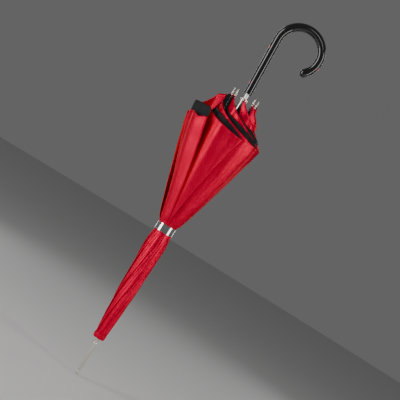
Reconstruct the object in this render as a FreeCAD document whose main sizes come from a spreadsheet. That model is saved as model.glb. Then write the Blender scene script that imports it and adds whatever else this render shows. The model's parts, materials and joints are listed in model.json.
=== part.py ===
import FreeCAD, Part
import Sketcher
import math
import os

# Stick umbrella, closed. +Z runs from the ferrule tip to the crook, the origin is the tip of the
# ferrule, and the crook opens towards +X. All sizes are in millimetres.
# Pieces that repeat around the shaft are built once, for the rib that lies over +X, and turned.

SIZES = {
    # shaft and ferrule
    "shaft_radius": 5.0, "shaft_bore": 4.2, "shaft_start": 92.0, "shaft_end": 770.0,
    "spike_radius": 4.0, "spike_knob": 4.5, "knob_end": 7.0, "knob_round": 1.6, "spike_start": 9.0,
    "spike_end": 78.0, "bead_radius": 4.8, "bead_end": 80.5, "neck_radius": 4.3, "neck_end": 83.0,
    "flare_middle": 88.0, "flare_waist": 5.2, "flare_radius": 7.5, "flare_rim": 90.5,
    "spigot_end": 112.0,
    # top notch and its wire
    "notch_radius": 11.0, "notch_start": 93.0, "notch_end": 106.0, "notch_floor": 97.2,
    "notch_slot_inner": 6.1, "notch_slot_width": 2.9, "notch_pivot_radius": 8.6,
    "notch_pivot_height": 100.0, "wire_radius": 0.6,
    # ribs and tips
    "rib_count": 8.0, "rib_radius": 1.2, "rib_lean": 2.0, "rib_length": 602.0,
    "rib_eye_radius": 2.2, "rib_eye_hole": 0.95, "eye_width": 2.0,
    "clip_place": 270.0, "clip_offset": 3.6, "clip_length": 9.0, "clip_gap": 3.0, "clip_wall": 0.7,
    "clip_saddle": 1.4, "clip_rim": 1.8, "pin_radius": 0.7,
    "tip_start": 596.0, "tip_socket_end": 603.5, "tip_radius": 2.1, "tip_neck_radius": 0.8,
    "tip_shoulder": 608.0, "tip_centre": 612.0, "tip_ball_radius": 1.6,
    # stretchers
    "stretcher_radius": 1.1, "stretcher_length": 290.0, "stretcher_rod_start": 1.4,
    "stretcher_eye_radius": 1.8, "stretcher_eye_hole": 1.0, "stretcher_eye_width": 2.3,
    # runner, its wire and the two catches
    "runner_bore": 5.1, "runner_radius": 7.9, "runner_pivot_radius": 10.2, "collar_radius": 13.0,
    "collar_below": 6.0, "collar_above": 6.0, "runner_below": 9.0, "runner_above": 42.0,
    "runner_rim_radius": 9.4, "runner_rim_length": 4.0, "runner_slot_width": 2.9,
    "keyway_radius": 7.0, "keyway_width": 3.0, "window_above": 24.0, "window_length": 12.0,
    "catch_width": 2.2, "catch_length": 24.0, "catch_inner": 2.6, "catch_outer": 3.6,
    "catch_nose_radius": 6.6, "catch_nose_length": 10.0, "catch_nose_flat": 3.0,
    "catch_slot_width": 2.9, "catch_slot_margin": 0.6, "catch_turn": -67.5,
    "top_catch_height": 474.0, "hand_catch_height": 685.0,
    # canopy outline when closed: radius and height of each turn of the profile
    "cloth": 1.2, "panel_angle": 44.2, "crown_radius": 13.2, "crown_height": 104.0,
    "calf_radius": 17.6, "calf_height": 150.0, "belly_radius": 21.5, "belly_height": 229.0,
    "bulge_radius": 24.3, "bulge_height": 325.0, "waist_radius": 21.0, "waist_start": 358.0,
    "waist_end": 383.0, "flare_low_radius": 35.0, "flare_low_height": 410.0,
    "flare_high_radius": 66.0, "flare_high_height": 516.0, "hem_radius": 96.0, "hem_height": 626.0,
    # gore folds, just inside the flared part
    "fold_gap": 0.5, "fold_thickness": 0.8, "fold_angle": 19.0, "fold_turn": 11.0,
    # closing band
    "band_inner": 21.35, "band_outer": 22.5, "band_start": 362.0, "band_end": 380.0,
    "band_plate_angle": 64.0, "band_rim": 23.0, "band_rim_height": 1.6, "strap_outer": 22.3,
    "strap_angle": 294.0, "strap_start": 363.0, "strap_end": 379.0,
    # crook handle and its heart inlays
    "grip_radius": 9.5, "grip_start": 714.0, "grip_length": 137.0, "crook_radius": 51.0,
    "crook_angle": 228.0, "grip_lean": 2.6, "heart_side": 7.0, "heart_depth": 1.7, "inlay_proud": 0.12,
    "heart_low": 23.0, "heart_high": 112.0, "heart_crook_angle": 194.0,
}

doc = FreeCAD.newDocument("stick_umbrella")
sheet = doc.addObject("Spreadsheet::Sheet", "sizes")
for row, (alias, number) in enumerate(SIZES.items(), start=1):
    sheet.set("A%d" % row, alias)
    sheet.set("B%d" % row, str(number))
    sheet.setAlias("B%d" % row, alias)
doc.recompute()

X_AXIS, Y_AXIS, Z_AXIS = (FreeCAD.Vector(1, 0, 0), FreeCAD.Vector(0, 1, 0), FreeCAD.Vector(0, 0, 1))
PIN_TURN = FreeCAD.Rotation(X_AXIS, -90)
exported = []


def amount(formula):
    """The value of cells joined by + and -, such as "hem_radius - cloth"."""
    total, sign = 0.0, 1.0
    for word in str(formula).split():
        if word in "+-":
            sign = 1.0 if word == "+" else -1.0
        else:
            total += sign * float(sheet.get(word))
    return total


def bound(formula):
    """The same formula as an expression on the spreadsheet."""
    return " ".join(word if word in "+-" else "sizes." + word for word in formula.split())


def place(base=(0, 0, 0), rotation=FreeCAD.Rotation()):
    return FreeCAD.Placement(FreeCAD.Vector(*base), rotation)


def primitive(kind, placement=None, **formulas):
    """A Part primitive whose sizes follow the spreadsheet."""
    item = doc.addObject("Part::" + kind, kind.lower())
    for size, formula in formulas.items():
        item.setExpression(size, bound(formula))
    if placement is not None:
        item.Placement = placement
    return item


def pin(radius, width, base):
    """A cylinder along Y, centred on base."""
    return primitive("Cylinder", place((base[0], base[1] - amount(width) / 2, base[2]), PIN_TURN),
                     Radius=radius, Height=width)


def centred_box(base, length, width, height, rotation=FreeCAD.Rotation()):
    """A box that starts at base along its own X and Z, and is centred along its own Y."""
    shift = rotation.multVec(FreeCAD.Vector(0, -amount(width) / 2, 0))
    return primitive("Box", FreeCAD.Placement(FreeCAD.Vector(*base) + shift, rotation),
                     Length=length, Width=width, Height=height)


def fuse(name, shapes):
    item = doc.addObject("Part::MultiFuse", name)
    item.Shapes = shapes
    return item


def cut(name, base, tools):
    item = doc.addObject("Part::Cut", name)
    item.Base = base
    item.Tool = tools[0] if len(tools) == 1 else fuse(name + "_tools", tools)
    return item


def export(item, node):
    item.Label = node
    exported.append(item)
    return item


def around(node, master, turn):
    """One turned copy of a master piece, as a sub-part of its own."""
    item = doc.addObject("Part::Compound", node)
    item.Links = [master]
    item.Placement = place(rotation=FreeCAD.Rotation(Z_AXIS, turn))
    return export(item, node)


def revolved(name, outline, angle=None, turn=0.0):
    """A PartDesign body revolved about Z. Each corner of the outline is (radius, height), as
    formulas on the spreadsheet, and a radius of None lies on the axis."""
    body = doc.addObject("PartDesign::Body", name)
    sketch = body.newObject("Sketcher::SketchObject", name + "_profile")
    plane = [p for p in body.Origin.OriginFeatures if p.Role == "XZ_Plane"][0]
    sketch.AttachmentSupport = [(plane, "")]
    sketch.MapMode = "FlatFace"
    corners = [FreeCAD.Vector(amount(r) if r else 0.0, amount(z) if z else 0.0, 0) for r, z in outline]
    count = len(corners)
    for i in range(count):
        sketch.addGeometry(Part.LineSegment(corners[i], corners[(i + 1) % count]), False)
    for i in range(count):
        sketch.addConstraint(Sketcher.Constraint("Coincident", i, 2, (i + 1) % count, 1))
    for i, (radius, height) in enumerate(outline):
        for formula, kind, axis in ((radius, "DistanceX", -2), (height, "DistanceY", -1)):
            if formula is None:
                sketch.addConstraint(Sketcher.Constraint("PointOnObject", i, 1, axis))
                continue
            number = sketch.addConstraint(Sketcher.Constraint(kind, -1, 1, i, 1, amount(formula)))
            sketch.setExpression("Constraints[%d]" % number, bound(formula))
    spin = body.newObject("PartDesign::Revolution", name + "_turned")
    spin.Profile = sketch
    spin.ReferenceAxis = (sketch, ["V_Axis"])
    if angle is None:
        spin.Angle = 360
    else:
        spin.setExpression("Angle", bound(angle))
        spin.Midplane = True
    body.Tip = spin
    body.Placement = place(rotation=FreeCAD.Rotation(Z_AXIS, turn))
    return body


# ---- where the linkage lies when closed ----
LEAN = math.radians(amount("rib_lean"))
ALONG = FreeCAD.Vector(math.sin(LEAN), 0, math.cos(LEAN))
INWARD = FreeCAD.Vector(-math.cos(LEAN), 0, math.sin(LEAN))
RIB_TURN = FreeCAD.Rotation(Y_AXIS, amount("rib_lean"))
RIB_PIVOT = FreeCAD.Vector(amount("notch_pivot_radius"), 0, amount("notch_pivot_height"))
CLIP = RIB_PIVOT + ALONG * amount("clip_place")
CLIP_PIVOT = CLIP + INWARD * amount("clip_offset")
REACH = CLIP_PIVOT.x - amount("runner_pivot_radius")
RUNNER_PIVOT = FreeCAD.Vector(amount("runner_pivot_radius"), 0,
                              CLIP_PIVOT.z + math.sqrt(amount("stretcher_length") ** 2 - REACH ** 2))
RIB_COUNT = int(amount("rib_count"))
RIB_TURNS = [-90.0 + 360.0 / RIB_COUNT * number for number in range(RIB_COUNT)]


def make_ferrule():
    """Long spike with a rounded knob, a bead and a flared cup, and a spigot inside the shaft."""
    body = revolved("ferrule", [
        (None, None), ("spike_knob - knob_round", None), ("spike_knob", "knob_round"),
        ("spike_knob", "knob_end"), ("spike_radius", "spike_start"), ("spike_radius", "spike_end"),
        ("bead_radius", "spike_end + knob_round - wire_radius"), ("neck_radius", "bead_end"),
        ("neck_radius", "neck_end"), ("flare_waist", "flare_middle"), ("flare_radius", "flare_rim"),
        ("flare_radius", "shaft_start"), ("shaft_bore", "shaft_start"), ("shaft_bore", "spigot_end"),
        (None, "spigot_end")])
    export(body, "ferrule")


def radial_slots(name, inner, width, reach, start, height):
    """One slot tool for each rib, from the inner radius outwards."""
    slots = []
    for turn in RIB_TURNS:
        rotation = FreeCAD.Rotation(Z_AXIS, turn)
        base = rotation.multVec(FreeCAD.Vector(amount(inner), 0, start))
        slots.append(centred_box(tuple(base), reach, width, height, rotation))
    return fuse(name, slots)


def wire_ring(node, ring_radius, height):
    ring = primitive("Torus", place((0, 0, height)), Radius1=ring_radius, Radius2="wire_radius")
    return export(ring, node)


def make_notch():
    """Grooved ring that holds the rib eyes on a wire."""
    ring = primitive("Cylinder", place((0, 0, amount("notch_start"))), Radius="notch_radius",
                     Height="notch_end - notch_start")
    bore = primitive("Cylinder", place((0, 0, amount("notch_start"))), Radius="shaft_radius",
                     Height="notch_end - notch_start")
    slots = radial_slots("notch_slots", "notch_slot_inner", "notch_slot_width", "notch_radius",
                         amount("notch_floor"), "notch_end - notch_floor")
    wire = wire_ring("notch_wire", "notch_pivot_radius", amount("notch_pivot_height"))
    export(cut("top_notch", ring, [bore, slots, wire]), "top_notch")


def catch_tools(height, reach):
    """The slot in the shaft over one catch nose."""
    turn = FreeCAD.Rotation(Z_AXIS, amount("catch_turn"))
    base = turn.multVec(FreeCAD.Vector(0, 0, height - amount("catch_slot_margin")))
    return centred_box(tuple(base), reach, "catch_slot_width",
                       "catch_nose_length + catch_slot_margin + catch_slot_margin", turn)


def make_shaft():
    """Steel tube from the ferrule into the handle, with a slot for each catch."""
    outer = primitive("Cylinder", place((0, 0, amount("shaft_start"))), Radius="shaft_radius",
                      Height="shaft_end - shaft_start")
    inner = primitive("Cylinder", place((0, 0, amount("shaft_start"))), Radius="shaft_bore",
                      Height="shaft_end - shaft_start")
    slots = [catch_tools(amount(cell), "shaft_radius + shaft_radius")
             for cell in ("top_catch_height", "hand_catch_height")]
    export(cut("shaft", outer, [inner] + slots), "shaft")


def make_catch(node, cell):
    """Spring blade inside the tube, with a wedge nose that stands out through its slot."""
    turn = FreeCAD.Rotation(Z_AXIS, amount("catch_turn"))
    spare = (amount("catch_length") - amount("catch_nose_length")) / 2
    base = turn.multVec(FreeCAD.Vector(amount("catch_inner"), 0, amount(cell) - spare))
    blade = centred_box(tuple(base), "catch_outer - catch_inner", "catch_width", "catch_length", turn)
    nose = doc.addObject("Part::Wedge", node + "_nose")
    half = amount("catch_width") / 2
    nose.Xmin, nose.X2min, nose.Xmax, nose.X2max = -half, -half, half, half
    nose.Zmin, nose.Ymin = 0, amount("catch_inner")
    nose.setExpression("Ymax", bound("catch_nose_radius"))
    nose.setExpression("Zmax", bound("catch_nose_length"))
    nose.setExpression("Z2max", bound("catch_nose_length"))
    nose.setExpression("Z2min", bound("catch_nose_length - catch_nose_flat"))
    nose.Placement = place((0, 0, amount(cell)), FreeCAD.Rotation(Z_AXIS, amount("catch_turn") - 90))
    export(fuse(node, [blade, nose]), node)


def make_ribs():
    """Rod with an eye on the notch wire, and a clip with a pin for the stretcher."""
    rod_base = RIB_PIVOT + ALONG * amount("rib_eye_hole + wire_radius")
    rod = primitive("Cylinder", FreeCAD.Placement(rod_base, RIB_TURN), Radius="rib_radius",
                    Height="rib_length - rib_eye_hole - wire_radius")
    eye = pin("rib_eye_radius", "eye_width", RIB_PIVOT)
    saddle_base = CLIP - ALONG * (amount("clip_length") / 2) + INWARD * amount("clip_saddle")
    saddle = centred_box(tuple(saddle_base), "clip_saddle + clip_saddle",
                         "clip_gap + clip_wall + clip_wall", "clip_length", RIB_TURN)
    ears = []
    ear_base = CLIP_PIVOT - ALONG * amount("clip_rim") + INWARD * amount("clip_rim")
    for side in (-1, 1):
        offset = FreeCAD.Vector(0, side * (amount("clip_gap") + amount("clip_wall")) / 2, 0)
        ears.append(centred_box(tuple(ear_base + offset), "clip_offset + clip_rim", "clip_wall",
                                "clip_rim + clip_rim", RIB_TURN))
    rivet = pin("pin_radius", "clip_gap + clip_wall + clip_wall", CLIP_PIVOT)
    solid = fuse("rib_solid", [rod, eye, saddle, rivet] + ears)
    hole = pin("rib_eye_hole", "eye_width + eye_width", RIB_PIVOT)
    master = cut("rib_master", solid, [hole])
    for number, turn in enumerate(RIB_TURNS):
        around("rib_%d" % number, master, turn)


def make_tips():
    """Turned metal tip: a socket over the rib's end, a shoulder, a thin neck and a ball."""
    def along(cell):
        return FreeCAD.Placement(RIB_PIVOT + ALONG * amount(cell), RIB_TURN)
    socket = primitive("Cylinder", along("tip_start"), Radius="tip_radius",
                       Height="tip_socket_end - tip_start")
    shoulder = primitive("Cone", along("tip_socket_end"), Radius1="tip_radius",
                         Radius2="tip_neck_radius", Height="tip_shoulder - tip_socket_end")
    neck = primitive("Cylinder", along("tip_socket_end"), Radius="tip_neck_radius",
                     Height="tip_centre - tip_socket_end")
    ball = primitive("Sphere", along("tip_centre"), Radius="tip_ball_radius")
    solid = fuse("tip_solid", [socket, shoulder, neck, ball])
    bore = primitive("Cylinder", along("tip_start"), Radius="rib_radius",
                     Height="rib_length - tip_start")
    master = cut("tip_master", solid, [bore])
    for number, turn in enumerate(RIB_TURNS):
        around("rib_tip_%d" % number, master, turn)


def make_stretchers():
    """Rod from the rib's clip to the runner's wire, with an eye at each end."""
    direction = (RUNNER_PIVOT - CLIP_PIVOT).normalize()
    turn = FreeCAD.Rotation(Z_AXIS, direction)
    rod_base = CLIP_PIVOT + direction * amount("stretcher_rod_start")
    rod = primitive("Cylinder", FreeCAD.Placement(rod_base, turn), Radius="stretcher_radius",
                    Height="stretcher_length - stretcher_rod_start - stretcher_rod_start")
    eyes = [pin("stretcher_eye_radius", "stretcher_eye_width", end) for end in (CLIP_PIVOT, RUNNER_PIVOT)]
    holes = [pin("stretcher_eye_hole", "stretcher_eye_width + stretcher_eye_width", end)
             for end in (CLIP_PIVOT, RUNNER_PIVOT)]
    master = cut("stretcher_master", fuse("stretcher_solid", [rod] + eyes), holes)
    for number, turn in enumerate(RIB_TURNS):
        around("stretcher_%d" % number, master, turn)


def make_runner():
    """Sleeve with a slotted collar for the stretchers, and a groove that clears the catches."""
    low = RUNNER_PIVOT.z - amount("runner_below")
    whole = "runner_below + runner_above"
    sleeve = primitive("Cylinder", place((0, 0, low)), Radius="runner_radius", Height=whole)
    collar = primitive("Cylinder", place((0, 0, RUNNER_PIVOT.z - amount("collar_below"))),
                       Radius="collar_radius", Height="collar_below + collar_above")
    rim = primitive("Cylinder", place((0, 0, low + amount(whole) - amount("runner_rim_length"))),
                    Radius="runner_rim_radius", Height="runner_rim_length")
    bore = primitive("Cylinder", place((0, 0, low)), Radius="runner_bore", Height=whole)
    slots = radial_slots("runner_slots", "runner_radius", "runner_slot_width", "collar_radius",
                         RUNNER_PIVOT.z - amount("collar_below"), "collar_below + collar_above")
    turn = FreeCAD.Rotation(Z_AXIS, amount("catch_turn"))
    keyway = centred_box((0, 0, low), "keyway_radius", "keyway_width", whole, turn)
    window = centred_box((0, 0, RUNNER_PIVOT.z + amount("window_above")), "collar_radius",
                         "keyway_width", "window_length", turn)
    wire = wire_ring("runner_wire", "runner_pivot_radius", RUNNER_PIVOT.z)
    solid = fuse("runner_solid", [sleeve, collar, rim])
    export(cut("runner", solid, [bore, slots, keyway, window, wire]), "runner")


def make_panels():
    """Closed canopy as one curved shell over each rib: spindle, pinched waist and open flare."""
    outside = [("crown_radius", "crown_height"), ("calf_radius", "calf_height"),
               ("belly_radius", "belly_height"), ("bulge_radius", "bulge_height"),
               ("waist_radius", "waist_start"), ("waist_radius", "waist_end"),
               ("flare_low_radius", "flare_low_height"), ("flare_high_radius", "flare_high_height"),
               ("hem_radius", "hem_height")]
    inside = [(radius + " - cloth", height) for radius, height in reversed(outside)]
    master = revolved("panel_master", outside + inside, "panel_angle")
    for number, turn in enumerate(RIB_TURNS):
        around("canopy_panel_%d" % number, master, turn)


def make_folds():
    """The gathered half gore on each side of a rib, as a thin leaf just inside the flare."""
    gap, back = " - cloth - fold_gap", " - cloth - fold_gap - fold_thickness"
    ends = [("flare_low_radius", "flare_low_height"), ("flare_high_radius", "flare_high_height")]
    outline = [(radius + gap, height) for radius, height in ends]
    outline += [(radius + back, height) for radius, height in reversed(ends)]
    for side, sign in (("left", -1), ("right", 1)):
        master = revolved("fold_master_" + side, outline, "fold_angle", sign * amount("fold_turn"))
        for number, turn in enumerate(RIB_TURNS):
            around("gore_fold_%d_%s" % (number, side), master, turn)


def make_band():
    """Chrome plate over the front rib, and the strap that runs round the back from its ends."""
    plate = revolved("band_plate", [
        ("band_inner", "band_start"), ("band_rim", "band_start"),
        ("band_rim", "band_start + band_rim_height"), ("band_outer", "band_start + band_rim_height"),
        ("band_outer", "band_end - band_rim_height"), ("band_rim", "band_end - band_rim_height"),
        ("band_rim", "band_end"), ("band_inner", "band_end")], "band_plate_angle", -90)
    export(plate, "band_plate")
    strap = revolved("band_strap", [
        ("band_inner", "strap_start"), ("strap_outer", "strap_start"), ("strap_outer", "strap_end"),
        ("band_inner", "strap_end")], "strap_angle", 90)
    export(strap, "band_strap")


def crook(name, extra):
    """Straight grip, bent crook and rounded end, with its radius grown by a formula."""
    radius = "grip_radius" + extra
    top = amount("grip_start + grip_length")
    grip = primitive("Cylinder", place((0, 0, amount("grip_start"))), Radius=radius, Height="grip_length")
    upright = FreeCAD.Rotation(X_AXIS, 90) * FreeCAD.Rotation(Z_AXIS, 180 - amount("crook_angle"))
    bend = primitive("Torus", place((amount("crook_radius"), 0, top), upright),
                     Radius1="crook_radius", Radius2=radius, Angle3="crook_angle")
    end_angle = math.radians(amount("crook_angle"))
    end = primitive("Sphere", place((amount("crook_radius") * (1 - math.cos(end_angle)), 0,
                                     top + amount("crook_radius") * math.sin(end_angle))), Radius=radius)
    return fuse(name, [grip, bend, end])


def heart(angle, centre):
    """A heart prism that looks outwards along -X, turned by angle about Y at its own centre."""
    side = amount("heart_side")
    outwards = FreeCAD.Rotation(Y_AXIS, angle)
    depth = amount("heart_depth")
    surface = FreeCAD.Vector(-amount("grip_radius") + depth, 0, 0)
    lobe_step, tip_drop = side / (2 * math.sqrt(2)), side / math.sqrt(2)
    face_out = FreeCAD.Rotation(Y_AXIS, -90)
    square = primitive("Box", FreeCAD.Placement(
        FreeCAD.Vector(0, 0, -tip_drop), FreeCAD.Rotation(X_AXIS, 45) * face_out),
        Length="heart_side", Width="heart_side", Height="heart_depth + heart_depth")
    lobes = [primitive("Cylinder", FreeCAD.Placement(
        FreeCAD.Vector(0, hand * lobe_step, lobe_step), face_out),
        Radius="heart_side", Height="heart_depth + heart_depth") for hand in (-1, 1)]
    for lobe in lobes:
        lobe.setExpression("Radius", "sizes.heart_side / 2")
    item = fuse("heart", [square] + lobes)
    item.Placement = FreeCAD.Placement(FreeCAD.Vector(*centre) + outwards.multVec(surface), outwards)
    return item


def lean_back(item):
    """Lean a piece of the handle off the shaft's axis, about the foot of the grip."""
    item.Placement = FreeCAD.Placement(FreeCAD.Vector(), FreeCAD.Rotation(Y_AXIS, -amount("grip_lean")),
                                       FreeCAD.Vector(0, 0, amount("grip_start")))
    return item


def make_handle():
    """Lacquered crook, bored for the shaft, with three hearts let into its outer side."""
    bore = primitive("Cylinder", place((0, 0, amount("grip_start"))), Radius="shaft_radius",
                     Height="shaft_end - grip_start")
    low = amount("grip_start")
    turn = amount("heart_crook_angle")
    bend_top = amount("grip_start + grip_length")
    away = math.radians(turn)
    crook_radius = amount("crook_radius")
    centres = [(0, (0, 0, low + amount("heart_low"))), (0, (0, 0, low + amount("heart_high"))),
               (turn, (crook_radius * (1 - math.cos(away)), 0, bend_top + crook_radius * math.sin(away)))]
    hearts = lean_back(fuse("heart_prisms", [heart(angle, centre) for angle, centre in centres]))
    export(cut("handle", lean_back(crook("crook_solid", "")), [bore, hearts]), "handle")
    inlays = doc.addObject("Part::Common", "heart_inlays")
    inlays.Base = lean_back(crook("crook_proud", " + inlay_proud"))
    inlays.Tool = hearts
    export(inlays, "heart_inlays")


make_ferrule()
make_notch()
make_shaft()
make_catch("top_spring", "top_catch_height")
make_catch("hand_spring", "hand_catch_height")
make_ribs()
make_tips()
make_stretchers()
make_runner()
make_panels()
make_folds()
make_band()
make_handle()
doc.recompute()

# ---- check every object, then write one STEP file for each sub-part ----
for item in doc.Objects:
    if "Invalid" in item.State or "Error" in item.State:
        raise RuntimeError("%s failed: %s" % (item.Label, item.State))
os.makedirs("parts", exist_ok=True)
for item in exported:
    shape = item.Shape
    if shape.isNull() or not shape.isValid() or not shape.Solids:
        raise RuntimeError("%s has no valid solid" % item.Label)
    shape.exportStep("parts/%s.step" % item.Label)
    box = shape.optimalBoundingBox()
    print("%-20s %2d solids %10.1f mm3  x %7.1f %7.1f  y %7.1f %7.1f  z %7.1f %7.1f" % (
        item.Label, len(shape.Solids), shape.Volume, box.XMin, box.XMax, box.YMin, box.YMax,
        box.ZMin, box.ZMax))
print("runner pivot height %.3f, clip pivot %.3f %.3f" % (RUNNER_PIVOT.z, CLIP_PIVOT.x, CLIP_PIVOT.z))
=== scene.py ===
"""The looks of the closed stick umbrella: satin canopy, lining, band, lacquer, metal and studio."""
import bpy
import json
import math
import numpy as np
from mathutils import Matrix, Vector


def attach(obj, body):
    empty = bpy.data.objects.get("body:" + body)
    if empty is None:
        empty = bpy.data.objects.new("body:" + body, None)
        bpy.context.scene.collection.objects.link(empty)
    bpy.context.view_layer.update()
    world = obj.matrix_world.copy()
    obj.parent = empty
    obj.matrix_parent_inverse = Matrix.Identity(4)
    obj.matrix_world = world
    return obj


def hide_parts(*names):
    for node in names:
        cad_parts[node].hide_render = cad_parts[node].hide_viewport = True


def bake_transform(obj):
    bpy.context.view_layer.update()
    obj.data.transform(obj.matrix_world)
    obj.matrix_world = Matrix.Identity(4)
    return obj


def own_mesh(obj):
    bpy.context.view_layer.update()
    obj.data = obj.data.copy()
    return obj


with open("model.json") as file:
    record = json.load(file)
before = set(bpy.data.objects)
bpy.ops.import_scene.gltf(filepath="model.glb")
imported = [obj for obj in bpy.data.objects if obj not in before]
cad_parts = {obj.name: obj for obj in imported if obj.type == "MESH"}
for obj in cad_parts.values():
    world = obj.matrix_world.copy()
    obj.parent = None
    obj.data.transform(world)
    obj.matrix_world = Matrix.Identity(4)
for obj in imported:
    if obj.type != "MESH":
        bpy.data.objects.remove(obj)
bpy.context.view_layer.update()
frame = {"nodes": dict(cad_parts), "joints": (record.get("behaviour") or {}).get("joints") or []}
MM = 0.001
RIBS = 8
GORE = 360.0 / RIBS
HALF_GORE = GORE / 2
FRONT = -90.0                      # azimuth of rib 0, which faces the camera
JOINTS = {joint["name"]: joint for joint in frame["joints"]}
rng = np.random.default_rng(7)


# ---------------------------------------------------------------- materials
def material(name):
    made = bpy.data.materials.new(name)
    made.use_nodes = True
    return made, made.node_tree, made.node_tree.nodes["Principled BSDF"]


def node(tree, kind, **settings):
    made = tree.nodes.new(kind)
    for key, value in settings.items():
        if key in made.inputs:
            made.inputs[key].default_value = value
        else:
            setattr(made, key, value)
    return made


def link(tree, out_node, out_name, in_node, in_name):
    tree.links.new(out_node.outputs[out_name], in_node.inputs[in_name])


def ramp(tree, source, output, stops):
    made = tree.nodes.new("ShaderNodeValToRGB")
    elements = made.color_ramp.elements
    while len(elements) < len(stops):
        elements.new(0.5)
    for element, (place, colour) in zip(elements, stops):
        element.position = place
        element.color = colour if len(colour) == 4 else (*colour, 1)
    link(tree, source, output, made, "Fac")
    return made


def bump(tree, source, output, shader, strength, distance, below=None):
    made = node(tree, "ShaderNodeBump", Strength=strength, Distance=distance)
    link(tree, source, output, made, "Height")
    if below is not None:
        link(tree, below, "Normal", made, "Normal")
    link(tree, made, "Normal", shader, "Normal")
    return made


def maths(tree, operation, first, second=None):
    """A math node on sockets or plain numbers."""
    made = node(tree, "ShaderNodeMath", operation=operation)
    for place, value in enumerate(v for v in (first, second) if v is not None):
        if isinstance(value, (int, float)):
            made.inputs[place].default_value = value
        else:
            tree.links.new(value, made.inputs[place])
    return made.outputs[0]


def mix_colour(tree, factor, first, second):
    made = node(tree, "ShaderNodeMix", data_type="RGBA")
    for place, value in ((0, factor), (6, first), (7, second)):
        if isinstance(value, (int, float)):
            made.inputs[place].default_value = value
        elif isinstance(value, tuple):
            made.inputs[place].default_value = (*value, 1)
        else:
            tree.links.new(value, made.inputs[place])
    return made.outputs[2]


def cloth_material(name, colour, deep, metallic, roughness, sheen, thread):
    """Woven cloth: warp and weft threads, soft colour change, hem and seam stitching."""
    made, tree, shader = material(name)
    place = node(tree, "ShaderNodeUVMap", uv_map="cloth")
    split = tree.nodes.new("ShaderNodeSeparateXYZ")
    link(tree, place, "UV", split, "Vector")
    across, along = split.outputs["X"], split.outputs["Y"]
    turns = 2 * math.pi / thread
    warp = maths(tree, "SINE", maths(tree, "MULTIPLY", across, turns))
    weft = maths(tree, "SINE", maths(tree, "MULTIPLY", along, turns / 2.5))
    weave = maths(tree, "ADD", maths(tree, "MULTIPLY", warp, 0.7), maths(tree, "MULTIPLY", weft, 0.4))
    cloud = node(tree, "ShaderNodeTexNoise", Scale=9.0, Detail=6.0, Roughness=0.6)
    slub = node(tree, "ShaderNodeTexNoise", Scale=1.0, Detail=4.0, Roughness=0.7)
    stretch = node(tree, "ShaderNodeMapping")
    stretch.inputs["Scale"].default_value = (900, 14, 1)
    link(tree, place, "UV", stretch, "Vector")
    link(tree, stretch, "Vector", slub, "Vector")
    shade = maths(tree, "ADD", maths(tree, "MULTIPLY", cloud.outputs["Fac"], 0.5),
                  maths(tree, "MULTIPLY", slub.outputs["Fac"], 0.5))
    hem = node(tree, "ShaderNodeAttribute", attribute_name="from_hem").outputs["Fac"]
    seam = node(tree, "ShaderNodeAttribute", attribute_name="from_seam").outputs["Fac"]
    hem_line = maths(tree, "LESS_THAN", maths(tree, "ABSOLUTE", maths(tree, "SUBTRACT", hem, 0.0045)), 0.0004)
    dash = maths(tree, "GREATER_THAN", maths(tree, "SINE", maths(tree, "MULTIPLY", across, 2400.0)), -0.35)
    seam_line = maths(tree, "LESS_THAN", maths(tree, "ABSOLUTE", maths(tree, "SUBTRACT", seam, 0.003)), 0.0004)
    seam_dash = maths(tree, "GREATER_THAN", maths(tree, "SINE", maths(tree, "MULTIPLY", along, 2400.0)), -0.35)
    stitch = maths(tree, "MAXIMUM", maths(tree, "MULTIPLY", hem_line, dash),
                   maths(tree, "MULTIPLY", seam_line, seam_dash))
    tone = ramp(tree, shade.node, "Value", [(0.3, deep), (0.7, colour)])
    colour_out = mix_colour(tree, maths(tree, "MULTIPLY", stitch, 0.6), tone.outputs["Color"], deep)
    tree.links.new(colour_out, shader.inputs["Base Color"])
    rough = maths(tree, "ADD", roughness - 0.06, maths(tree, "MULTIPLY", slub.outputs["Fac"], 0.12))
    tree.links.new(rough, shader.inputs["Roughness"])
    shader.inputs["Metallic"].default_value = metallic
    shader.inputs["Anisotropic"].default_value = 0.35
    shader.inputs["Sheen Weight"].default_value = sheen
    shader.inputs["Sheen Roughness"].default_value = 0.35
    shader.inputs["Sheen Tint"].default_value = (*colour, 1)
    shader.inputs["Specular IOR Level"].default_value = 0.2
    shader.inputs["Specular Tint"].default_value = (*(c / max(colour) for c in colour), 1)
    fine = node(tree, "ShaderNodeBump", Strength=0.12, Distance=0.00008)
    tree.links.new(weave, fine.inputs["Height"])
    cover = node(tree, "ShaderNodeBump", Strength=0.5, Distance=0.0004)
    tree.links.new(stitch, cover.inputs["Height"])
    link(tree, fine, "Normal", cover, "Normal")
    pucker = node(tree, "ShaderNodeBump", Strength=0.35, Distance=0.0012)
    link(tree, slub, "Fac", pucker, "Height")
    link(tree, cover, "Normal", pucker, "Normal")
    link(tree, pucker, "Normal", shader, "Normal")
    return made


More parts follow.
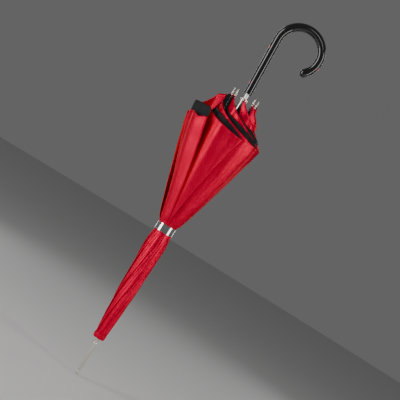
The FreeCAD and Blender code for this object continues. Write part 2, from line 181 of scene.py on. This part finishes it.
def metal_material(name, colour, roughness, scratches, grain=(400, 400, 4), coat=0.0, dirt=0.15):
    """Metal with fine drawn or turned lines, faint handling marks and a little colour change."""
    made, tree, shader = material(name)
    place = node(tree, "ShaderNodeTexCoord")
    stretch = node(tree, "ShaderNodeMapping")
    stretch.inputs["Scale"].default_value = grain
    link(tree, place, "Object", stretch, "Vector")
    lines = node(tree, "ShaderNodeTexNoise", Scale=1.0, Detail=5.0, Roughness=0.65)
    link(tree, stretch, "Vector", lines, "Vector")
    marks = node(tree, "ShaderNodeTexNoise", Scale=55.0, Detail=8.0, Roughness=0.7)
    link(tree, place, "Object", marks, "Vector")
    tone = ramp(tree, marks, "Fac", [(0.35, tuple(c * (1 - dirt) for c in colour)), (0.65, colour)])
    link(tree, tone, "Color", shader, "Base Color")
    rough = maths(tree, "ADD", roughness, maths(tree, "MULTIPLY", marks.outputs["Fac"], roughness * 0.8))
    tree.links.new(rough, shader.inputs["Roughness"])
    shader.inputs["Metallic"].default_value = 1.0
    shader.inputs["Coat Weight"].default_value = coat
    bump(tree, lines, "Fac", shader, scratches, 0.00005)
    return made


def lacquer_material(name, colour, roughness):
    """Polished lacquer: deep colour under a clear coat, with faint ripple and hairline marks."""
    made, tree, shader = material(name)
    place = node(tree, "ShaderNodeTexCoord")
    ripple = node(tree, "ShaderNodeTexNoise", Scale=60.0, Detail=2.0)
    link(tree, place, "Object", ripple, "Vector")
    hairs = node(tree, "ShaderNodeTexNoise", Scale=1.0, Detail=6.0, Roughness=0.8)
    stretch = node(tree, "ShaderNodeMapping")
    stretch.inputs["Scale"].default_value = (1500, 1500, 60)
    link(tree, place, "Object", stretch, "Vector")
    link(tree, stretch, "Vector", hairs, "Vector")
    tone = ramp(tree, ripple, "Fac", [(0.3, tuple(c * 0.7 for c in colour)), (0.7, colour)])
    link(tree, tone, "Color", shader, "Base Color")
    rough = maths(tree, "ADD", roughness, maths(tree, "MULTIPLY", hairs.outputs["Fac"], 0.06))
    tree.links.new(rough, shader.inputs["Roughness"])
    shader.inputs["Coat Weight"].default_value = 0.8
    shader.inputs["Coat Roughness"].default_value = 0.10
    shader.inputs["Coat IOR"].default_value = 1.5
    bump(tree, ripple, "Fac", shader, 0.03, 0.0002)
    return made


def thread_material(name, colour):
    made, tree, shader = material(name)
    place = node(tree, "ShaderNodeTexCoord")
    twist = node(tree, "ShaderNodeTexWave", Scale=900.0, Distortion=1.0)
    link(tree, place, "Object", twist, "Vector")
    tone = ramp(tree, twist, "Fac", [(0.1, tuple(c * 0.6 for c in colour)), (0.9, colour)])
    link(tree, tone, "Color", shader, "Base Color")
    shader.inputs["Roughness"].default_value = 0.6
    shader.inputs["Sheen Weight"].default_value = 0.4
    bump(tree, twist, "Fac", shader, 0.5, 0.0001)
    return made


SATIN_RED = (0.86, 0.0, 0.060)
SATIN_DEEP = (0.70, 0.0, 0.034)
satin = cloth_material("satin_crimson", SATIN_RED, SATIN_DEEP, 0.62, 0.34, 0.04, 0.0005)
lining = cloth_material("lining_charcoal", (0.022, 0.022, 0.023), (0.010, 0.010, 0.011), 0.0, 0.62, 0.5, 0.0009)
nickel = metal_material("bright_nickel", (0.88, 0.82, 0.73), 0.13, 0.25, (60, 60, 2500))
steel = metal_material("polished_steel", (0.80, 0.79, 0.77), 0.14, 0.2)
chrome = metal_material("mirror_chrome", (0.86, 0.85, 0.84), 0.05, 0.06, dirt=0.05)
black_nickel = metal_material("black_nickel", (0.16, 0.16, 0.17), 0.25, 0.3)
enamel = lacquer_material("black_enamel", (0.012, 0.012, 0.013), 0.3)
lacquer = lacquer_material("piano_black", (0.006, 0.006, 0.007), 0.12)
heart_red = lacquer_material("heart_enamel", (0.78, 0.012, 0.035), 0.2)
thread = thread_material("red_thread", (0.7, 0.01, 0.04))

CAD_LOOKS = {"shaft": steel, "ferrule": nickel, "top_notch": enamel, "notch_wire": steel,
             "handle": lacquer, "heart_inlays": heart_red, "runner": nickel, "runner_wire": steel,
             "hand_spring": steel, "top_spring": steel, "band_plate": chrome}
for number in range(RIBS):
    CAD_LOOKS["rib_%d" % number] = black_nickel
    CAD_LOOKS["stretcher_%d" % number] = black_nickel
    CAD_LOOKS["rib_tip_%d" % number] = nickel
for name, look in CAD_LOOKS.items():
    mesh = frame["nodes"][name].data
    mesh.materials.clear()
    mesh.materials.append(look)


# ---------------------------------------------------------------- canopy
APEX, HEM_TIP = 100.0, 701.0
BAND_MIDDLE = 371.0
BAND_TOP_TURN = 372.0              # height where the wrap below the band gives way to the wrap above it
# height and radius of the closed cloth's outer face, in millimetres
CROWN_HEIGHTS = (100, 150, 203, 255, 307, 335, 360, 382, 392, 412, 438, 464, 490, 516, 543, 569, 595, 625, 660)
OUTER_RADII = (12.9, 16.9, 20.2, 21.7, 23.6, 23.9, 20.8, 20.8, 27.5, 34.5, 42.5, 50.5, 57.5, 65, 73, 80, 88, 94, 98)
# each flap: the turn from its middle to the fold line at the hem and at the band, the fold corner's
# radius and height, the mouth's width, how full the flap is and how far its hem lies low
FLAPS = ((127.5, 128, 92, 618, 9, 0.92, 0.0), (124.5, 128, 94, 618, 10, 0.92, 0.0),
         (112.5, 132, 95, 620, 10, 0.9, 0.0), (105.5, 124, 97, 617, 4, 0.7, 0.0),
         (126.5, 150.5, 95, 621, 17, 0.22, 0.34), (140.5, 114, 94, 618, 12, 0.9, 0.0),
         (140.5, 125, 94, 617, 8, 0.92, 0.0), (134.5, 128, 92, 618, 9, 0.92, 0.0))
TUBE = 4                           # the flap that stands open as a tube
TUBE_LINING_FILL = 0.12
TUBE_NEIGHBOUR_DIP = 24.0
TWIST = 85.0                       # degrees that the furled cloth turns from tip to band
SPREAD_PASSES = 12
EDGE_PASSES = 10
NU, NV = 56, 110


def smooth(x, low, high):
    s = np.clip((x - low) / (high - low), 0, 1)
    return s * s * (3 - 2 * s)


def outer_radius(z):
    return np.interp(z, CROWN_HEIGHTS, OUTER_RADII)


def seam_radius(z):
    return 9.9 + (z - APEX) * 0.0349


WAVES = [(n, rng.uniform(0, 2 * math.pi), rng.uniform(-0.4, 0.4)) for n in (7, 11, 17, 23, 31, 41)]


def wrinkle(azimuth, z):
    """Ripples that run along the cloth, fine near the band and broad on the flare."""
    a = np.radians(azimuth + TWIST * (1 - smooth(z, 90, BAND_TOP_TURN)))
    flare = smooth(z, 385, 620)
    spindle = 1 - smooth(z, 330, BAND_TOP_TURN)
    pinch = np.exp(-((z - BAND_MIDDLE) / 34.0) ** 2)
    total = np.zeros_like(z)
    for n, phase, drift in WAVES:
        wave = np.sin(n * a + phase + drift * z * 0.02)
        if n < 20:
            total += wave * (0.9 * flare + 0.18 * spindle)
        elif n < 35:
            total += wave * (0.25 * flare + 0.30 * spindle + 0.28 * pinch)
        else:
            total += wave * (0.05 * flare + 0.16 * spindle + 0.30 * pinch)
    near_band = smooth(np.abs(z - BAND_MIDDLE), 8, 22)
    return total * (0.25 + 0.75 * near_band)


def half_gore(number, outer):
    """One half of gore number, from its rib's seam to the fold line, wrapped round the shaft."""
    wrap_hem, wrap_band, corner_radius, corner_height, mouth, fullness, low = FLAPS[number]
    lag = 0.0 if outer else GORE
    u = np.linspace(0, 1, NU)[None, :] ** 0.9
    u = np.repeat(u, NV, 0)
    v = np.linspace(0, 1, NV)[:, None]
    v = np.repeat(v, NU, 1)
    full_hem = wrap_hem + HALF_GORE - lag
    back_hem = (1 - u) * full_hem
    away = np.clip(1 - u - low, 0, 1) / (1 - low)
    lift = away ** 1.55 if outer else 0.55 * away ** 0.62 + 0.45 * away ** 15
    hem = corner_height + (HEM_TIP - corner_height) * lift
    if number == TUBE + 1 and outer:
        hem = hem - TUBE_NEIGHBOUR_DIP * np.exp(-((u - 0.27) / 0.12) ** 2)
    if low and outer:
        hem = hem - 6.0 * np.exp(-((back_hem - 14) / 7.0) ** 2) - 4.0 * smooth(back_hem, 30, 55)
    elif low:
        hem = (corner_height + 24.0 * smooth(back_hem, 0, 9) - 9.0 * np.exp(-((back_hem - 62) / 16.0) ** 2)
               + (HEM_TIP - corner_height - 24.0) * np.clip((back_hem - 45) / (full_hem - 45), 0, 1) ** 5)
    z = APEX + (hem - APEX) * v
    wrap = np.where(z < BAND_TOP_TURN, 60 + 115 * np.clip((z - 100) / 258, 0, 1),
                    wrap_band + (wrap_hem - wrap_band) * np.clip((z - BAND_TOP_TURN) / 248, 0, 1))
    under_band = smooth(z, 360, 384)
    wrap = np.where(np.abs(z - BAND_TOP_TURN) < 12, 175 + (wrap_band - 175) * under_band, wrap)
    full = wrap + HALF_GORE - lag
    start = FRONT + GORE * number + lag
    azimuth = start + full * u
    back = (1 - u) * full
    outside = outer_radius(z) * np.where(z > 400, 1 + (corner_radius / 94.0 - 1) * smooth(z, 400, 600), 1)
    inside = seam_radius(z)
    if low and not outer:
        fullness = TUBE_LINING_FILL
    fill = 0.92 + (fullness - 0.92) * smooth(z, 390, 560)
    radius = inside + (outside - inside) * u ** fill
    # the fold is a round nose: the two layers part by the mouth's width, less where it is bound
    width = 0.75 + (mouth - 0.75) * smooth(z, 395, 620) ** 1.2
    nose = np.degrees(width * 0.8 / np.maximum(outside, 1))
    bulge = np.sqrt(np.clip(1 - (1 - np.clip(back / nose, 0, 1)) ** 2, 0, 1))
    ease = np.clip(u * 3, 0, 1)
    if not outer:
        fade = 1 - 0.9 * smooth(back, 15, 42 if low else 70)
        radius = radius - bulge * ease * (0.75 + (width - 0.75) * fade)
    lobe = np.sin(np.pi * np.clip(back / 62.0, 0, 1)) * smooth(z, 390, 560)
    radius = radius + (2.6 if outer else 1.2) * lobe
    radius = radius + wrinkle(azimuth, z) * (0.4 + 0.6 * u) * np.clip((outside - inside) / 6.0, 0.25, 1.0)
    a = np.radians(azimuth)
    points = np.stack([radius * np.cos(a), radius * np.sin(a), z], -1) * MM
    side = "outer" if outer else "inner"
    name = "canopy_%s_%d" % (side, number)
    mesh = bpy.data.meshes.new(name)
    index = np.arange(NU * NV).reshape(NV, NU)
    here, right = index[:-1, :-1].ravel(), index[:-1, 1:].ravel()
    above, corner = index[1:, :-1].ravel(), index[1:, 1:].ravel()
    order = (here, right, corner, above) if outer else (here, above, corner, right)
    mesh.from_pydata(points.reshape(-1, 3).tolist(), [], np.stack(order, 1).tolist())
    steps_u = np.linalg.norm(np.diff(points, axis=1), axis=2)
    steps_v = np.linalg.norm(np.diff(points, axis=0), axis=2)
    across = np.concatenate([np.zeros((NV, 1)), np.cumsum(steps_u, 1)], 1)
    along = np.concatenate([np.zeros((1, NU)), np.cumsum(steps_v, 0)], 0)
    for label, values in (("from_hem", along[-1:] - along), ("from_seam", across), ("fold_share", u)):
        layer = mesh.attributes.new(label, "FLOAT", "POINT")
        layer.data.foreach_set("value", np.ascontiguousarray(values, np.float32).ravel())
    uv = mesh.uv_layers.new(name="cloth")
    corners = np.zeros(len(mesh.loops), np.int32)
    mesh.loops.foreach_get("vertex_index", corners)
    flat = np.stack([across.ravel()[corners], along.ravel()[corners]], 1)
    uv.data.foreach_set("uv", flat.astype(np.float32).ravel())
    mesh.polygons.foreach_set("use_smooth", np.ones(len(mesh.polygons), bool))
    mesh.materials.append(satin)
    mesh.materials.append(lining)
    piece = bpy.data.objects.new(name, mesh)
    bpy.context.scene.collection.objects.link(piece)
    thick = piece.modifiers.new("cloth_thickness", "SOLIDIFY")
    thick.thickness = 0.00025
    thick.offset = -1
    thick.material_offset = 1
    thick.material_offset_rim = 0
    thick.use_rim = True
    return piece


def turning(axis, place, angle):
    """Rotation matrices and shifts for a turn, or an array of turns, about a line."""
    x, y, z = np.array(axis) / np.linalg.norm(axis)
    cross = np.array([[0, -z, y], [z, 0, -x], [-y, x, 0]])
    angle = np.asarray(angle)[..., None, None]
    rotation = np.eye(3) + np.sin(angle) * cross + (1 - np.cos(angle)) * (cross @ cross)
    return rotation, np.array(place) - rotation @ np.array(place)


def swing(joint):
    """The joint's limit away from rest, in radians."""
    return math.radians(max(joint["range_deg"], key=abs))


def opened(points, rib, outer, share):
    """Where points stand on the open umbrella when they follow the fold body by share."""
    rib_joint = JOINTS["rib_%d_open" % rib]
    fold_joint = JOINTS["fold_%d_%s_spread" % (rib, "right" if outer else "left")]
    rib_turn, rib_shift = turning(rib_joint["axis"], rib_joint["pos_m"], swing(rib_joint))
    turn, shift = turning(fold_joint["axis"], fold_joint["pos_m"], swing(fold_joint) * np.asarray(share))
    return (np.einsum("...ij,...j->...i", turn, points) + shift) @ rib_turn.T + rib_shift


def azimuth_from(points, rib):
    """Azimuth in degrees measured from a rib, between -180 and 180."""
    turn = np.degrees(np.arctan2(points[..., 1], points[..., 0])) - FRONT - GORE * rib
    return (turn + 180) % 360 - 180


def cloth_points(piece):
    return np.array([v.co for v in piece.data.vertices])


TRIALS = np.linspace(0.4, 1, 31)


def meeting_shares(outer_piece, inner_piece, number):
    """For each row, the shares at the fold line that bring the open gore's two halves together."""
    far = (number + 1) % RIBS
    first = cloth_points(outer_piece).reshape(NV, NU, 3)[:, -1]
    second = cloth_points(inner_piece).reshape(NV, NU, 3)[:, -1]
    grid = np.repeat(TRIALS[:, None], NV, 1)
    first = opened(first[None], number, True, grid)
    second = opened(second[None], far, False, grid)
    apart = np.linalg.norm(first[:, None] - second[None], axis=-1)
    first_off = np.abs(azimuth_from(first, number) - HALF_GORE)[:, None]
    off_middle = first_off + np.abs(azimuth_from(second, far) + HALF_GORE)[None]
    cost = apart + 0.0003 * off_middle
    best = np.argmin(cost.reshape(-1, NV), 0)
    shares = [TRIALS[best // len(TRIALS)], TRIALS[best % len(TRIALS)]]
    for _ in range(EDGE_PASSES):
        for edge in shares:
            edge[1:-1] = (edge[:-2] + 2 * edge[1:-1] + edge[2:]) / 4
    return shares


def open_shares(piece, rib, outer, edge):
    """How far each point follows the fold body, from none at the seam to edge at the fold line."""
    points = cloth_points(piece)
    share = np.zeros(len(points), np.float32)
    piece.data.attributes["fold_share"].data.foreach_get("value", share)
    edge_point = points.reshape(NV, NU, 3)[:, -1]
    reach = azimuth_from(opened(edge_point, rib, outer, edge), rib)
    wanted = np.repeat(reach, NU) * share
    rough = np.repeat(edge, NU) * share
    trials = np.linspace(0, 1, 41)
    miss = [np.abs(azimuth_from(opened(points, rib, outer, trial), rib) - wanted) + 3.0 * np.abs(trial - rough)
            for trial in trials]
    best = trials[np.argmin(np.array(miss), 0)].reshape(NV, NU)
    for _ in range(SPREAD_PASSES):      # a smooth spread keeps the open cloth free of kinks
        best[:, 0], best[:, -1] = 0, edge
        middle = best.copy()
        middle[1:-1] = (best[:-2] + 2 * best[1:-1] + best[2:]) / 4
        middle[:, 1:-1] = (middle[:, :-2] + 2 * middle[:, 1:-1] + middle[:, 2:]) / 4
        best = middle
    return best.ravel().astype(np.float32)


for number in range(RIBS):
    pair = [half_gore(number, True), half_gore(number, False)]
    edges = meeting_shares(*pair, number)
    for piece, edge, outer in zip(pair, edges, (True, False)):
        rib = number if outer else (number + 1) % RIBS
        fold = "fold_%d_%s" % (rib, "right" if outer else "left")
        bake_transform(piece)
        open_shares(piece, rib, outer, edge)
        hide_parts("gore_" + fold)
        if outer:
            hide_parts("canopy_panel_%d" % rib)


# ---------------------------------------------------------------- small pieces
def lathe(name, profile, looks, steps=96, start=0.0, sweep=360.0, ripple=None):
    """A surface of revolution about the shaft from (radius, height) points in millimetres."""
    closed = sweep >= 360.0
    turns = [start + sweep * i / steps for i in range(steps + (0 if closed else 1))]
    verts, faces, count = [], [], len(profile)
    for turn in turns:
        a = math.radians(turn)
        for radius, height in profile:
            r = radius + (ripple(turn, height) if ripple else 0.0)
            verts.append((r * math.cos(a) * MM, r * math.sin(a) * MM, height * MM))
    for i in range(len(turns) if closed else len(turns) - 1):
        j = (i + 1) % len(turns)
        for p in range(count - 1):
            faces.append((i * count + p, j * count + p, j * count + p + 1, i * count + p + 1))
    mesh = bpy.data.meshes.new(name)
    mesh.from_pydata(verts, [], faces)
    uv = mesh.uv_layers.new(name="cloth")
    for loop in mesh.loops:
        co = mesh.vertices[loop.vertex_index].co
        uv.data[loop.index].uv = (math.atan2(co.y, co.x) * 0.013, co.z)
    mesh.polygons.foreach_set("use_smooth", np.ones(len(mesh.polygons), bool))
    mesh.materials.append(looks)
    piece = bpy.data.objects.new(name, mesh)
    bpy.context.scene.collection.objects.link(piece)
    return piece


def crown_ripple(turn, height):
    return 0.35 * math.sin(math.radians(turn * 16)) + 0.2 * math.sin(math.radians(turn * 37 + height * 9))


crown = lathe("canopy_crown", [(7.2, 91.9), (10.2, 91.6), (12.2, 92.2), (13.1, 94.0), (13.5, 97.0),
                               (13.7, 100.5), (13.6, 104.0)], satin, ripple=crown_ripple)
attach(crown, "frame")

STRAP_PROFILE = [(21.4, 362.2), (22.9, 362.2), (22.9, 363.6), (22.4, 364.0), (22.45, 371.0), (22.4, 378.0),
                 (22.9, 378.4), (22.9, 379.8), (21.4, 379.8), (21.4, 362.2)]
strap = lathe("band_strap_loop", STRAP_PROFILE, chrome, steps=160, start=FRONT + 32.4, sweep=295.2)
strap.data.set_sharp_from_angle(angle=math.radians(40))
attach(strap, "rib_0")
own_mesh(strap)
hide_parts("band_strap")


def thread_coil(number):
    """Three turns of thread that sew the canopy to a rib tip."""
    lean = math.radians(2.0)
    a = math.radians(FRONT + GORE * number)
    out = Vector((math.cos(a), math.sin(a), 0))
    side = Vector((-math.sin(a), math.cos(a), 0))
    along = math.sin(lean) * out + math.cos(lean) * Vector((0, 0, 1))
    up = math.cos(lean) * out - math.sin(lean) * Vector((0, 0, 1))
    base = out * 8.6 + Vector((0, 0, 100.0))
    curve = bpy.data.curves.new("tip_thread_%d" % number, "CURVE")
    curve.dimensions = "3D"
    curve.bevel_depth = 0.00022
    curve.bevel_resolution = 2
    turns, per_turn = 4, 14
    line = curve.splines.new("POLY")
    line.points.add(turns * per_turn)
    for i in range(turns * per_turn + 1):
        t = 2 * math.pi * i / per_turn
        point = base + along * (598.4 + 0.45 * i / per_turn) + (up * math.cos(t) + side * math.sin(t)) * 2.35
        line.points[i].co = (*(point * MM), 1)
    piece = bpy.data.objects.new("tip_thread_%d" % number, curve)
    bpy.context.scene.collection.objects.link(piece)
    curve.materials.append(thread)
    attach(piece, "rib_%d" % number)


for number in range(RIBS):
    thread_coil(number)


# ---------------------------------------------------------------- camera, lights, backdrop
WORLD_LEVEL = 0.13
FLOOR_RADIUS = 8.0
LEAN = math.radians(31.5)
RIGHT = Vector((math.cos(LEAN), 0, math.sin(LEAN)))
UP = Vector((-math.sin(LEAN), 0, math.cos(LEAN)))


LIGHT_TARGET = Vector((0.03, 0, 0.46))


def strip_light(name, place, size, power, colour=(1, 1, 1)):
    data = bpy.data.lights.new(name, "AREA")
    data.shape = "RECTANGLE"
    data.size, data.size_y = size
    data.energy = power
    data.color = colour
    lamp = bpy.data.objects.new(name, data)
    lamp.location = place
    lamp.rotation_euler = (LIGHT_TARGET - Vector(place)).to_track_quat("-Z", "Y").to_euler()
    bpy.context.scene.collection.objects.link(lamp)


strip_light("softbox_left", (-1.35, -0.85, 0.60), (0.70, 2.2), 24)
strip_light("softbox_right", (1.40, -0.80, 0.60), (0.60, 2.2), 17, colour=(1.0, 0.97, 0.93))
strip_light("fill_front", (0.55, -2.2, 2.0), (1.0, 0.6), 5)
strip_light("rim_back_left", (-1.0, 1.3, 0.9), (0.2, 1.6), 3)
strip_light("rim_back_right", (1.1, 1.3, 0.9), (0.2, 1.6), 3)

world = bpy.data.worlds.new("studio_soft")
bpy.context.scene.world = world
world.use_nodes = True
background = world.node_tree.nodes["Background"]
background.inputs["Color"].default_value = (1.0, 1.0, 1.0, 1)
background.inputs["Strength"].default_value = WORLD_LEVEL

floor_look, tree, shader = material("pale_floor")
place = node(tree, "ShaderNodeTexCoord")
reach = node(tree, "ShaderNodeVectorMath", operation="LENGTH")
link(tree, place, "Object", reach, "Vector")
distance = node(tree, "ShaderNodeMapRange")
distance.inputs["From Max"].default_value = FLOOR_RADIUS
link(tree, reach, "Value", distance, "Value")
# the floor's colour is painted lighter under the umbrella and darker towards its rim: a painted falloff of light
tone = ramp(tree, distance, "Result", [(0.0, (0.80, 0.80, 0.80)), (0.9, (0.72, 0.72, 0.72))])
link(tree, tone, "Color", shader, "Base Color")
shader.inputs["Roughness"].default_value = 0.9
mesh = bpy.data.meshes.new("floor")
corners = [(FLOOR_RADIUS * math.cos(math.radians(t)), FLOOR_RADIUS * math.sin(math.radians(t)), 0)
           for t in range(0, 360, 5)]
mesh.from_pydata(corners, [], [tuple(range(len(corners)))])
mesh.materials.append(floor_look)
floor = bpy.data.objects.new("floor", mesh)
floor.location = (0, 0, -0.0005)
bpy.context.scene.collection.objects.link(floor)

AIM = Vector((0.032, 0, 0.464))
DISTANCE = 2.42
camera_data = bpy.data.cameras.new("camera")
camera_data.lens = 100
camera_data.sensor_width = 36
camera = bpy.data.objects.new("camera", camera_data)
bpy.context.scene.collection.objects.link(camera)
away = RIGHT.cross(UP)
camera.location = AIM + away * DISTANCE
camera.rotation_euler = Matrix((RIGHT, UP, away)).transposed().to_euler()
bpy.context.scene.camera = camera
